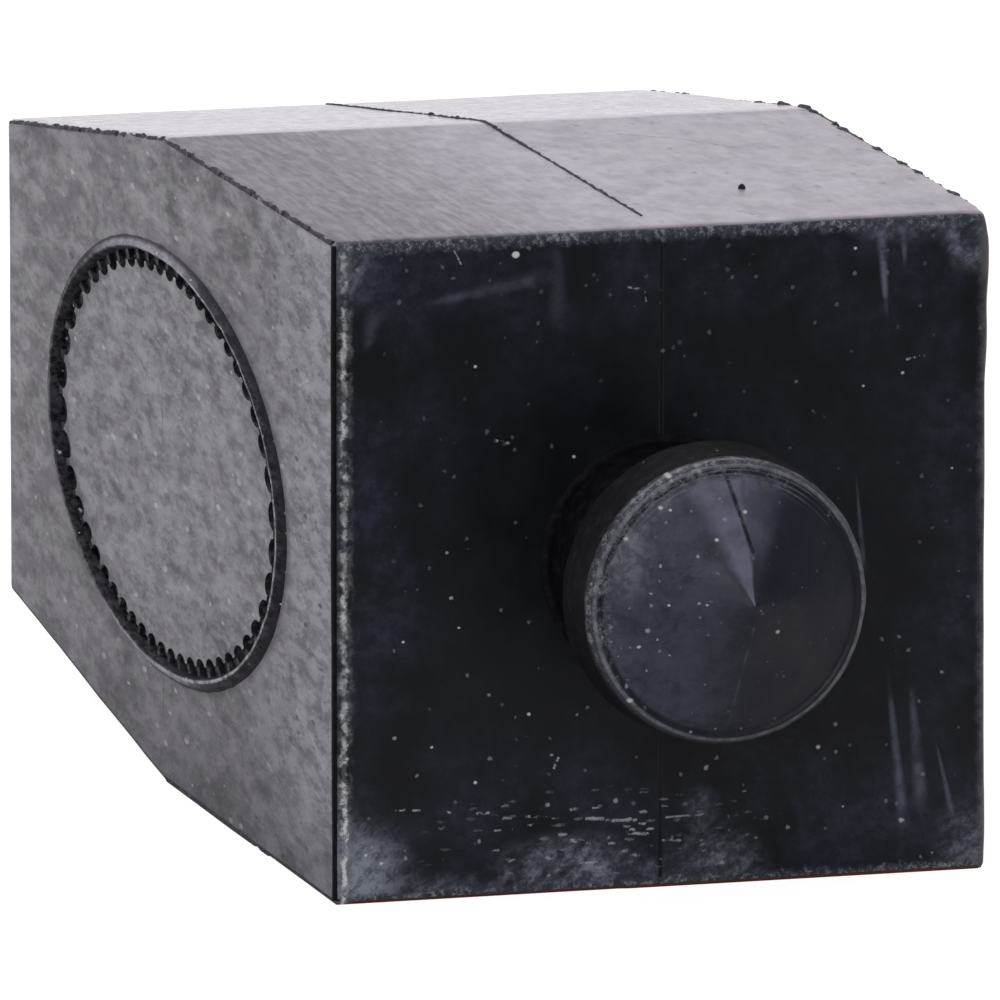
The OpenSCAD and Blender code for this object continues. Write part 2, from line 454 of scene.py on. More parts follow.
def turned(name, outline, steps, closed=False):
    """Spins an outline of (distance from the axis, height) points once round the Z axis."""
    bpy.ops.mesh.primitive_plane_add(size=0.001)
    piece = bpy.context.object
    piece.name = name
    bpy.ops.object.mode_set(mode='EDIT')
    bpy.ops.mesh.select_mode(type='VERT')
    bpy.ops.mesh.select_all(action='SELECT')
    bpy.ops.mesh.merge(type='CENTER')
    bpy.ops.transform.translate(value=(outline[0][0] * MM, 0, outline[0][1] * MM))
    for before, after in zip(outline, outline[1:]):
        move = ((after[0] - before[0]) * MM, 0, (after[1] - before[1]) * MM)
        bpy.ops.mesh.extrude_vertices_move(TRANSFORM_OT_translate={"value": move})
    if closed:
        pick(piece, 'VERT', lambda v: any(near(v.co.x, point[0], 0.001) and near(v.co.z, point[1], 0.001)
                                          for point in (outline[0], outline[-1])))
        bpy.ops.mesh.edge_face_add()
    bpy.ops.mesh.select_all(action='SELECT')
    bpy.ops.mesh.spin(steps=steps, angle=2 * pi, center=(0, 0, 0), axis=(0, 0, 1))
    bpy.ops.mesh.select_all(action='SELECT')
    bpy.ops.mesh.remove_doubles(threshold=0.000002)
    bpy.ops.mesh.normals_make_consistent(inside=False)
    bpy.ops.object.mode_set(mode='OBJECT')
    return piece


def half_height(y):
    if y <= STRAIGHT_L:
        return FRONT_H / 2
    return (FRONT_H + (BACK_H - FRONT_H) * (y - STRAIGHT_L) / (BLOCK_L - STRAIGHT_L)) / 2


def on_front(x, z):
    return (x, 0, z)


def half_width(y):
    return (FRONT_W + (BACK_W - FRONT_W) * y / BLOCK_L) / 2


# ---- block -------------------------------------------------------------------------------------------------
def make_block():
    """A long box with a bend in the middle, drawn in above and below at its far end, with rounded edges."""
    bpy.ops.mesh.primitive_cube_add(size=1, location=(0, BLOCK_L / 2 * MM, 0),
                                    scale=(FRONT_W * MM, BLOCK_L * MM, FRONT_H * MM))
    block = bpy.context.object
    block.name = "block"
    bpy.ops.object.transform_apply(location=True, scale=True)
    pick(block, 'FACE', lambda f: True)
    bpy.ops.mesh.bisect(plane_co=(0, STRAIGHT_L * MM, 0), plane_no=(0, 1, 0))
    pick(block, 'VERT', lambda v: near(v.co.y, BLOCK_L))
    bpy.ops.transform.resize(value=(BACK_W / FRONT_W, 1, BACK_H / FRONT_H), center_override=(0, BLOCK_L * MM, 0))
    pick(block, 'VERT', lambda v: near(v.co.y, STRAIGHT_L))
    bpy.ops.transform.resize(value=(2 * half_width(STRAIGHT_L) / FRONT_W, 1, 1),
                             center_override=(0, STRAIGHT_L * MM, 0))
    pick(block, 'EDGE', lambda e: all(near(p.y, STRAIGHT_L) for p in ends(block, e))
         and abs(ends(block, e)[0].z - ends(block, e)[1].z) < 0.1 * MM)
    bpy.ops.mesh.bevel(offset=BEND_R * MM, segments=3, profile=0.5)
    pick(block, 'EDGE', lambda e: False)
    bpy.ops.mesh.edges_select_sharp(sharpness=radians(30))
    bpy.ops.mesh.bevel(offset=EDGE_R * MM, segments=4, profile=0.5)
    split_long_edges(block, 1.6)
    return block


def swell_corner(block):
    """The corner above the plug on the right has worn round and bulges a little below the worn part."""
    corner = Vector((FRONT_W / 2, 0, FRONT_H / 2)) * MM
    split_long_edges(block, 0.6, lambda place: (place - corner).length < 4.5 * MM)
    pick(block, 'VERT', lambda v: (v.co - corner).length < 2.4 * MM)
    bpy.ops.mesh.vertices_smooth(factor=0.5, repeat=14)
    for height, swell in ((25.0, 0.3), (18.5, 0.2), (-24.5, 0.12)):
        below = Vector((FRONT_W / 2, 0, height)) * MM
        pick(block, 'VERT', lambda v: (v.co - below).length < 1.0 * MM)
        bpy.ops.transform.translate(value=(swell * MM, 0, 0), use_proportional_edit=True,
                                    proportional_edit_falloff='SMOOTH', proportional_size=4.5 * MM)
    bpy.ops.object.mode_set(mode='OBJECT')


def level_foot(block):
    """The underside is flat as far as the bend, where the block rests on it."""
    foot = -FRONT_H / 2
    pick(block, 'VERT', lambda v: v.co.z < (foot + 0.2) * MM and v.co.y < (STRAIGHT_L + 2) * MM)
    bpy.ops.transform.resize(value=(1, 1, 0), center_override=(0, 0, (foot + 0.03) * MM))
    bpy.ops.object.mode_set(mode='OBJECT')


# ---- oval frame on the left side face ----------------------------------------------------------------------
def place_oval(piece):
    """Stretches a round piece, modelled flat at the origin, into the oval and puts it on the left side face."""
    piece.scale = (OVAL_A / OVAL_B, 1, 1)
    set_down(piece)
    side_turn = atan((BACK_W - FRONT_W) / 2 / BLOCK_L)
    piece.rotation_euler = Euler((pi / 2, 0, side_turn - pi / 2))
    piece.location = (-half_width(OVAL_Y) * MM, OVAL_Y * MM, 0)
    set_down(piece)


def even_turns(count):
    """The angles, in the round form of the oval, that lie at even distances along the stretched oval."""
    fine = 3600
    points = [(OVAL_A / OVAL_B * CHANNEL_INNER * cos(2 * pi * i / fine), CHANNEL_INNER * sin(2 * pi * i / fine))
              for i in range(fine + 1)]
    travel = [0.0]
    for a, b in zip(points, points[1:]):
        travel.append(travel[-1] + hypot(b[0] - a[0], b[1] - a[1]))
    turns = []
    i = 0
    for k in range(count + 1):
        while i < fine and travel[i] < travel[-1] * k / count:
            i += 1
        turns.append(2 * pi * i / fine)
    return turns


def make_channel():
    outline = [(CHANNEL_INNER, -CHANNEL_D), (CHANNEL_OUTER, -CHANNEL_D),
               (CHANNEL_OUTER, CUTTER_H), (CHANNEL_INNER, CUTTER_H)]
    channel = turned("channel", outline, OVAL_STEPS, closed=True)
    place_oval(channel)
    return channel


def make_pits():
    """One pit with a rounded inner end, repeated all the way round with a rib left between neighbours."""
    width = CHANNEL_OUTER - CHANNEL_INNER
    bpy.ops.mesh.primitive_cube_add(size=1, scale=(width * MM, MM, (CUTTER_H + PIT_D) * MM),
                                    location=((CHANNEL_INNER + width / 2) * MM, 0, (CUTTER_H - PIT_D) / 2 * MM))
    pit = bpy.context.object
    bpy.ops.object.transform_apply(location=True, scale=True)
    reach = 0.0
    size = 1.0
    for turn in (22, 45, 68, 86):
        pick(pit, 'FACE', lambda f: f.normal.x < -0.9 and near(f.center.x, CHANNEL_INNER - reach, 0.02))
        step = PIT_L * sin(radians(turn)) - reach
        bpy.ops.mesh.extrude_region_move(TRANSFORM_OT_translate={"value": (-step * MM, 0, 0)})
        bpy.ops.transform.resize(value=(1, cos(radians(turn)) / size, 1), center_override=(0, 0, 0))
        reach += step
        size = cos(radians(turn))
        bpy.ops.object.mode_set(mode='OBJECT')
    turns = even_turns(PIT_COUNT)
    pits = []
    for start, stop in zip(turns, turns[1:]):
        solo(pit)
        bpy.ops.object.duplicate()
        made = bpy.context.object
        made.rotation_euler.z = (start + stop) / 2
        made.scale.y = 2 * sin((stop - start) / 2) * CHANNEL_INNER * (1 - RIB_SHARE)
        set_down(made)
        pits.append(made)
    bpy.data.objects.remove(pit)
    joined = join_all("pits", pits)
    place_oval(joined)
    return joined


def make_bead():
    section = [(BEAD_OUT, -0.05), (0.78, 0.1), (0.6, 0.25), (0.42, 0.4), (0.25, 0.52), (0.12, BEAD_H - 0.01),
               (0.02, BEAD_H), (-0.08, BEAD_H), (-0.18, BEAD_H - 0.06), (-0.26, 0.35), (-0.34, 0.1), (-0.4, -0.2),
               (-0.42, -PIT_D - 0.4), (BEAD_OUT, -PIT_D - 0.4)]
    outline = [(OVAL_B + across, height) for across, height in section]
    bead = turned("oval_bead", outline, OVAL_STEPS, closed=True)
    place_oval(bead)
    press_noise(bead, "bead waves", 2.0, 0.2)
    return bead


# ---- plug --------------------------------------------------------------------------------------------------
def arc(centre, reach, start, stop, steps):
    """Points on an arc of (distance from the axis, height), with its own reach along each."""
    return [(centre[0] + reach[0] * cos(radians(start + (stop - start) * k / steps)),
             centre[1] + reach[1] * sin(radians(start + (stop - start) * k / steps))) for k in range(steps + 1)]


def make_plug():
    """Neck, flare, head, round shoulder, lip ring with a fine groove inside it, and the lead-in cone."""
    outline = [(0, -2), (6, -2), (NECK_R + FILLET_R, -2)]
    outline += arc((NECK_R + FILLET_R, FILLET_R), (FILLET_R, FILLET_R), 270, 180, 4)
    outline += [(NECK_R, 4), (NECK_R, 7.5), (NECK_R, 10.8), (10.55, 11.6), (11.4, 12.7), (12.3, 13.85)]
    outline += arc((12.7, 14.95), (0.5, 0.75), -40, 30, 4)
    outline += [(13.1, 16.4), (13.0, 17.6), (12.9, 18.8)]
    outline += arc((11.9, 19.8), (0.9, 1.7), 0, 90, 8)
    outline += [(11.8, 21.48), (11.68, 21.38), (11.55, 21.32), (11.4, 21.36), (CONE_R, CONE_FOOT)]
    for share in (0.1, 0.2, 0.32, 0.45, 0.58, 0.7, 0.8, 0.88, 0.94):
        outline.append((CONE_R * (1 - share), CONE_FOOT + (PLUG_L - CONE_FOOT) * share))
    outline += [(0.35, PLUG_L - 0.1), (0, PLUG_L)]
    plug = turned("plug", outline, 160)
    plug.rotation_euler = Euler((pi / 2, 0, 0))
    set_down(plug)
    # the tip of the cone sits a little to one side
    pick(plug, 'VERT', lambda v: v.co.y < -26.3 * MM)
    bpy.ops.transform.translate(value=(0.9 * MM, 0, 0.5 * MM), use_proportional_edit=True,
                                proportional_edit_falloff='LINEAR', proportional_size=10.5 * MM)
    bpy.ops.object.mode_set(mode='OBJECT')
    head = group(plug, "head", lambda v: v.co.y < -14 * MM)
    press_noise(plug, "head waves", 5, 0.22, head)
    rim = group(plug, "rim", lambda v: -21.9 * MM < v.co.y < -19.5 * MM)
    press_noise(plug, "rim nicks", 1.2, 0.16, rim)
    return plug


# ---- flash left by the mould -------------------------------------------------------------------------------
def make_strip(name, start, end, width, height, ragged, size):
    """A thin upright strip along a line on the block, half sunk in it, with a ragged upper edge."""
    run = end - start
    bpy.ops.mesh.primitive_cube_add(size=1)
    strip = bpy.context.object
    strip.name = name
    strip.scale = (width * MM, run.length * MM, 2 * height * MM)
    bpy.ops.object.transform_apply(scale=True)
    pick(strip, 'EDGE', lambda e: abs(ends(strip, e)[0].y - ends(strip, e)[1].y) > 0.5 * run.length * MM)
    bpy.ops.mesh.subdivide(number_cuts=int(run.length / 0.35))
    bpy.ops.object.mode_set(mode='OBJECT')
    top = group(strip, "top", lambda v: v.co.z > 0)
    pick(strip, 'VERT', lambda v: v.co.z > 0)
    bpy.ops.transform.resize(value=(0.5, 1, 1), center_override=(0, 0, height * MM))
    bpy.ops.object.mode_set(mode='OBJECT')
    press_noise(strip, name + " rag", size, ragged, top, 'Z')
    press_noise(strip, name + " lean", size * 2, width, top, 'X')
    strip.rotation_euler = run.to_track_quat('Y', 'Z').to_euler()
    strip.location = (start + end) / 2 * MM
    return strip


def on_top(x, y, lift=0.0):
    return Vector((x, y, half_height(y) + lift))


def make_lump(place, size):
    """A small lump of torn rubber."""
    bpy.ops.mesh.primitive_uv_sphere_add(segments=16, ring_count=10, radius=0.5)
    lump = bpy.context.object
    lump.name = "lump"
    lump.scale = Vector(size) * MM
    lump.location = place * MM
    bpy.ops.object.transform_apply(location=True, rotation=True, scale=True)
    press_noise(lump, "lump form", 0.8, 0.35)
    return lump


def make_flash():
    """The parting flash along the middle of the top, ragged flash and lumps along the long top edges."""
    dice = random.Random(7)
    parts = []
    for first, last in ((5.5, STRAIGHT_L), (STRAIGHT_L, BLOCK_L - 0.5)):
        parts.append(make_strip("parting_flash", on_top(-0.25, first), on_top(-0.25, last), 0.36, 0.12, 0.3, 1.0))
        for side, rag, size in ((-1, 0.45, 1.2), (1, 0.5, 1.6)):
            start = 0.7 if side < 0 and first < STRAIGHT_L else first
            parts.append(make_strip("edge_flash",
                                    on_top(side * (half_width(start) - 0.25), start, -0.25),
                                    on_top(side * (half_width(last) - 0.25), last, -0.25),
                                    0.5, 0.15, rag, size))
    for y, long, high in RIGHT_LUMPS:
        parts.append(make_lump(on_top(half_width(y) - 0.4, y, -0.15), (0.9, long, high)))
    for _ in range(LEFT_LUMPS):
        y = dice.uniform(4, 108)
        place = on_top(-half_width(y) + 0.2, y, -0.2)
        parts.append(make_lump(place, (0.5, dice.uniform(0.8, 2.2), dice.uniform(0.3, 0.6))))
    for y in (53.6, 66, 75):
        parts.append(make_lump(on_top(-0.25, y), (0.5, 0.9, 0.5)))
    parts.append(make_lump(on_top(12.3, 16.7), (0.62, 0.7, 0.7)))
    for part in parts:
        settle(part, 60)
    return join_all("flash", parts)


# lumps along the right top edge: distance from the mounting face, length and height
RIGHT_LUMPS = [(9.6, 4.2, 0.51), (14.5, 1.2, 0.24), (20.9, 3.2, 0.48), (25.8, 2.4, 0.42), (33.6, 2.6, 0.42),
               (44.6, 3.6, 0.42), (47.2, 1.2, 0.3), (54.5, 2.6, 0.48), (57.0, 3.4, 0.54), (63.5, 4.0, 0.48),
               (72, 1.6, 0.3), (97, 2, 0.3)]
LEFT_LUMPS = 24


# ---- materials ---------------------------------------------------------------------------------------------
def front_rubber():
    """Almost black, with a cool bloom towards the edges, painted shade round the plug, a painted highlight along the
    top edge, rubbed patches at the corners, dust and scratches.
    """
    finish = Finish("rubber on the mounting face", 0.42, 0.42)
    fade, cloud = finish.fade, finish.cloud
    seen = cloud(9, 5, 0.6, seed=1)
    rim = finish.either(fade(finish.x, -14, -28), fade(finish.z, -10, -27),
                        fade(finish.x, 20, 30),
                        finish.both(fade(finish.z, 14, 28), 0.7))
    bloom = finish.both(finish.lift(rim, 0.3), fade(seen, 0.36, 0.62))
    fine = fade(cloud(1.3, 5, 0.75, seed=12), 0.38, 0.66, 0.3, 1.0)
    finish.coat((0.003, 0.004, 0.008))
    finish.coat((0.030, 0.037, 0.062), bloom, fine)
    # painted shade: the middle of the mounting face, round the plug, is darkened
    shade = finish.patch((-6, 0, 0), (20, 9, 18), 0.5)
    finish.coat((0.004, 0.005, 0.008), shade, 0.8)

    # rubbed patches, drawn out along slanting lines
    rub = fade(finish.slanted(0.9, 3.0, 35, seed=2), 0.36, 0.64, 0.26, 1)
    rub = finish.both(rub, fade(cloud(0.7, 5, 0.8, seed=13), 0.38, 0.62, 0.3, 1))
    wide = fade(cloud(4, 5, 0.65, seed=3), 0.36, 0.56)
    patches = finish.either(*(finish.both(finish.patch(on_front(*middle), (wide, 9, tall), edge), strength)
                              for middle, (wide, tall), edge, strength in PATCHES))
    finish.coat((0.32, 0.35, 0.42), patches, rub, finish.lift(wide, 0.4))
    corner = finish.both(finish.patch((-27.6, 0, -27.5), (4.5, 9, 5.5), 0.2), fade(rub, 0.05, 0.5, 0.3, 1))
    finish.coat((0.34, 0.37, 0.43), corner)

    # soft wiped streaks
    worn = fade(cloud(1.6, 4, 0.65, seed=4), 0.34, 0.62, 0.3, 1)
    for start, end, width, strength in WIPES:
        streak = finish.stroke(on_front(*start), on_front(*end), width, soft=True)
        finish.coat((0.20, 0.22, 0.28), streak, worn, strength)

    # dark line where the halves of the mould met
    crease = fade(finish.math("ABSOLUTE", finish.x), 0.24, 0.06)
    finish.coat((0.001, 0.001, 0.002), crease)

    # scuffed band below the upper edge and above the lower one
    grit = fade(cloud(0.6, 4, 0.8, seed=6), 0.47, 0.62)
    coarse = fade(cloud(2.2, 4, 0.65, seed=7), 0.34, 0.62)
    ragged = finish.math("ADD", finish.z, finish.math("MULTIPLY", cloud(1.2, 5, 0.75, seed=8), 2.0))
    band = fade(ragged, 29.2, 30.0)
    finish.coat((0.055, 0.060, 0.080), band)
    finish.coat((0.36, 0.37, 0.40), band, grit, finish.lift(coarse, 0.35))
    # painted highlight: a thin pale line along the very top of the mounting face, where its rounded edge meets the
    # light
    finish.coat((0.15, 0.165, 0.20), fade(finish.z, 29.35, 29.6))
    foot = fade(ragged, -27.5, -28.3)
    finish.coat((0.060, 0.062, 0.075), foot)
    finish.coat((0.45, 0.45, 0.45), foot, grit, finish.lift(coarse, 0.3))
    finish.coat((0.15, 0.050, 0.032), fade(finish.z, -29.28, -29.42))

    # chalky line beside the left edge, dull line along the right edge
    wander = finish.math("ADD", finish.x, finish.math("MULTIPLY", cloud(1.3, 6, 0.8, seed=9), 1.8))
    line = finish.both(fade(wander, -28.9, -28.4), fade(wander, -27.1, -27.7))
    core = finish.both(fade(wander, -28.5, -28.2), fade(wander, -27.7, -28.0))
    soft = fade(cloud(1.3, 5, 0.65, seed=15), 0.38, 0.56)
    heavy = finish.either(finish.both(coarse, 0.8), fade(finish.z, -8, -22))
    finish.coat((0.20, 0.20, 0.205), line, soft, finish.lift(heavy, 0.4))
    finish.coat((0.85, 0.85, 0.86), core, finish.lift(soft, 0.12), finish.lift(heavy, 0.3))
    dull = fade(finish.math("ADD", wander, -0.9), 28.9, 30.1)
    finish.coat((0.17, 0.155, 0.16), dull, finish.lift(coarse, 0.5))

    # fine scratches, broken here and there
    broken = finish.both(fade(cloud(0.8, 3, 0.7, seed=5), 0.44, 0.54),
                         fade(cloud(0.25, 2, seed=14), 0.35, 0.6, 0.4, 1))
    marks = finish.either(*(finish.stroke(on_front(*start), on_front(*end), width)
                            for start, end, width in SCRATCHES))
    finish.coat((0.55, 0.56, 0.58), marks, broken)
    # short dashes of dust, mostly near the foot
    lying = finish.vector("MULTIPLY", finish.place, (0.38, 1, 1.1))
    dashes = finish.both(finish.specks(0.6, 0.30, 0.6, 71, lying), finish.patch((-6, 0, -24.5), (19, 9, 5), 0.35))
    finish.coat((0.50, 0.51, 0.53), dashes)

    # dust
    low = fade(finish.z, 5, -25, 0.35, 1)
    for spacing, radius, share, seed, tone in ((1.1, 0.22, 0.40, 1, 0.35), (2.0, 0.26, 0.40, 2, 0.60)):
        thin = finish.both(finish.specks(spacing, radius, share, seed), low)
        finish.coat((tone, tone, tone), thin)
    dust = finish.either(*(finish.patch((x, 0, z), (radius * 0.8, 1, radius * 0.7), 0.3) for x, z, radius in DUST))
    crumbled = fade(cloud(0.35, 3, 0.75, seed=16), 0.38, 0.54, 0.25, 1)
    finish.coat((0.8, 0.8, 0.8), dust, crumbled)
    finish.coat((1.0, 1.0, 1.0), finish.patch((-13.3, 0, 27.8), (0.42, 1, 0.36), 0.6))
    finish.gloss(fade(cloud(4, 4, seed=10), 0.3, 0.7, 0.36, 0.48))
    finish.relief(cloud(1.2, 4, 0.6, seed=11), 0.02)
    finish.relief(finish.math("SUBTRACT", 1.0, crease), 0.12)
    return finish


def side_rubber():
    """Grey with dust that has settled unevenly in the moulded grain, darker towards the rear and the bottom, with
    painted light near the mounting face and a painted shadow beside the oval bead.
    """
    finish = Finish("rubber on the sides", 0.38)
    fade, cloud = finish.fade, finish.cloud
    fine = fade(cloud(1.2, 5, 0.7, (1, 3.4, 1), seed=20), 0.38, 0.62)
    broad = fade(cloud(5, 5, 0.6, (1, 2.6, 1), seed=21), 0.38, 0.60)
    cover = finish.math("ADD", finish.math("MULTIPLY", fine, 0.55), finish.math("MULTIPLY", broad, 0.45))
    finish.coat((0.035, 0.033, 0.041))
    finish.coat((0.165, 0.157, 0.177), cover)
    rear = fade(finish.y, 55, 112)
    finish.coat((0.040, 0.037, 0.048), rear, 0.45)
    # painted light: the side is painted lighter towards the mounting face
    near_front = fade(finish.y, 34, 0)
    finish.coat((0.32, 0.31, 0.34), near_front, finish.lift(fine, 0.35), 0.75)
    ring = finish.oval_reach()
    oval_side = finish.math("LESS_THAN", finish.x, 0)
    # painted shadow: a soft dark ring just outside the bead, on its near half
    shaded = finish.both(fade(ring, 20.7, 19.7), fade(ring, 19.0, 19.4), fade(finish.y, 70, 50),
                         oval_side)
    finish.coat((0.030, 0.028, 0.036), shaded, 0.7)
    inside = finish.both(fade(ring, 16.9, 16.4), oval_side)
    finish.coat((0.23, 0.22, 0.25), inside, fade(fine, 0, 1, 0.15, 0.9), 0.6)
    low = fade(finish.z, -18, -29.5)
    finish.coat((0.045, 0.042, 0.052), low, fade(broad, 0, 1, 0.95, 0.5))
    drawn = finish.vector("MULTIPLY", finish.place, (1, 0.36, 1))
    for spacing, radius, share, seed, tone in ((1.9, 0.55, 0.35, 22, (0.012, 0.010, 0.014)),
                                               (1.3, 0.36, 0.40, 21, (0.36, 0.35, 0.375)),
                                               (0.9, 0.30, 0.25, 23, (0.015, 0.013, 0.018))):
        finish.coat(tone, finish.specks(spacing, radius, share, seed, drawn))
    # fine light hairs, leaning back
    from_side = finish.vector("MULTIPLY", finish.place, (0, 1, 1))
    hairs = finish.either(*(finish.stroke((0, *start), (0, *end), 0.2, from_side) for start, end in SIDE_HAIRS))
    finish.coat((0.42, 0.41, 0.43), hairs, finish.lift(fine, 0.2))
    finish.gloss(fade(cloud(1.8, 5, 0.7, (1, 3, 1), seed=24), 0.38, 0.62, 0.36, 0.58))
    finish.relief(cloud(0.8, 5, 0.7, (1, 3, 1), seed=23), 0.10)
    return finish


def top_rubber():
    """Paler than the sides, partly from dust and partly painted light for the sheen of the top, with a faint pink
    cast, and brush marks along the left half.
    """
    finish = Finish("rubber on the top", 0.30)
    fade, cloud = finish.fade, finish.cloud
    brushed = fade(cloud(0.7, 5, 0.65, (1, 9, 1), seed=30), 0.38, 0.62)
    broad = fade(cloud(3.2, 6, 0.68, (1.3, 2.0, 1), seed=31), 0.36, 0.62)
    rear = fade(finish.y, 55.5, 57)
    left = finish.both(fade(finish.x, 0, -26), fade(rear, 1, 0))
    streaks = finish.both(left, fade(brushed, 0, 1, 1, 0))
    finish.coat((0.23, 0.205, 0.235))
    finish.coat((0.35, 0.318, 0.355), broad)
    finish.coat((0.085, 0.075, 0.095), left, 0.75)
    finish.coat((0.035, 0.030, 0.040), streaks, 0.85)
    rosy = fade(cloud(5, 4, 0.6, (1.4, 1.5, 1), seed=35), 0.42, 0.60)
    finish.coat((0.36, 0.295, 0.325), rosy, fade(finish.x, -10, 15), 0.35)
    # painted sheen: the top beyond the bend is painted evenly paler
    finish.coat((0.31, 0.287, 0.32), rear, finish.lift(broad, 0.8))
    for spacing, radius, share, seed in ((2.2, 0.5, 0.40, 32), (1.2, 0.36, 0.35, 33)):
        drawn = finish.vector("MULTIPLY", finish.place, (1, 0.35, 1))
        dark = finish.both(finish.specks(spacing, radius, share, seed, drawn), fade(rear, 0, 1, 0.9, 0.35))
        finish.coat((0.08, 0.065, 0.09), dark)
    for start, end in (((9.6, 47.5, 0), (14.5, 43.5, 0)), ((14.5, 43.5, 0), (18.2, 37.0, 0))):
        hair = finish.stroke(start, end, 0.5, finish.from_above)
        finish.coat((0.06, 0.055, 0.065), hair, fade(brushed, 0, 1, 0.2, 0.9))
    # painted highlight: a pale line along the bend of the top
    bend_highlight = finish.both(fade(finish.y, 55.6, 56.2), fade(finish.y, 57.6, 57.0))
    finish.coat((0.60, 0.58, 0.62), bend_highlight, 0.35)
    gleam = fade(cloud(1.2, 5, 0.65, (1, 2.8, 1), seed=34), 0.38, 0.62, 0.28, 0.36)
    gleam = finish.both(gleam, fade(rear, 0, 1, 1, 0.65))
    finish.gloss(finish.math("ADD", gleam, finish.math("MULTIPLY", left, 0.06)))
    finish.relief(cloud(0.9, 5, 0.6, (1, 2.6, 1), seed=33), 0.016)
    return finish


def edge_rubber():
    """The rounded long edges and the flash: darker, purplish, with grit in them."""
    finish = Finish("rubber on the edges", 0.6, 0.2)
    grit = finish.fade(finish.cloud(0.5, 4, 0.7, (1, 2, 1), seed=40), 0.50, 0.66)
    finish.coat((0.016, 0.013, 0.022))
    finish.coat((0.15, 0.135, 0.165), grit, 0.7)
    finish.relief(finish.cloud(0.6, 4, 0.6, seed=41), 0.05)
    return finish


def groove_rubber():
    """Dark rubber in the groove and the pits of the oval frame, as painted shade for the recesses, with fine grain
    and pale specks.
    """
    finish = Finish("rubber in the oval groove", 0.6, 0.12)
    fine = finish.fade(finish.cloud(0.8, 5, 0.7, (1, 2, 1), seed=50), 0.44, 0.66)
    # painted shade: dark base colour for the groove and pits
    finish.coat((0.022, 0.020, 0.027))
    finish.coat((0.11, 0.105, 0.12), fine)
    finish.coat((0.50, 0.49, 0.51), finish.specks(0.9, 0.30, 0.35, 52))
    finish.relief(finish.cloud(0.8, 4, 0.6, seed=51), 0.06)
    return finish


def bead_rubber():
    """The bead of the oval frame: pale along its crest, paler above and below with dust and painted light, and dark
    on its slopes with painted shade.
    """
    finish = Finish("rubber on the oval bead", 0.6, 0.05)
    fade, cloud = finish.fade, finish.cloud
    ring = finish.oval_reach()
    fine = fade(cloud(0.8, 5, 0.75, (1, 2.5, 1), seed=53), 0.40, 0.64)
    # painted shade: the bead is painted dark where its slopes face away from the light
    finish.coat((0.008, 0.007, 0.011))
    finish.coat((0.055, 0.052, 0.063), fine)
    # partly dust and partly painted light: paler on the outer slope at the top and bottom, which face up and down
    dust_and_painted_light = finish.both(fade(finish.math("ABSOLUTE", finish.z), 14.5, 18.2), fade(ring, 18.75, 18.95),
                        fade(finish.y, 42, 50, 0.15, 1))
    finish.coat((0.36, 0.345, 0.38), dust_and_painted_light, finish.lift(fine, 0.65))
    # painted shade: darker still on the outer slope, except where it is paler above and below
    outer = finish.both(fade(ring, 19.2, 19.6), finish.lift(dust_and_painted_light, 0.85))
    finish.coat((0.020, 0.018, 0.025), outer, 0.85)
    crest = finish.both(fade(ring, 18.68, 18.80), fade(ring, 19.06, 18.94))
    crest = finish.both(crest, fade(finish.y, 66, 50, 0.25, 1))
    finish.coat((0.46, 0.45, 0.48), crest, fade(fine, 0, 1, 0.3, 0.9))
    specks = finish.specks(0.9, 0.26, 0.40, 54, finish.vector("MULTIPLY", finish.place, (1, 0.5, 1)))
    finish.coat((0.60, 0.59, 0.61), specks)
    finish.relief(cloud(0.7, 4, 0.7, (1, 2, 1), seed=55), 0.08)
    return finish


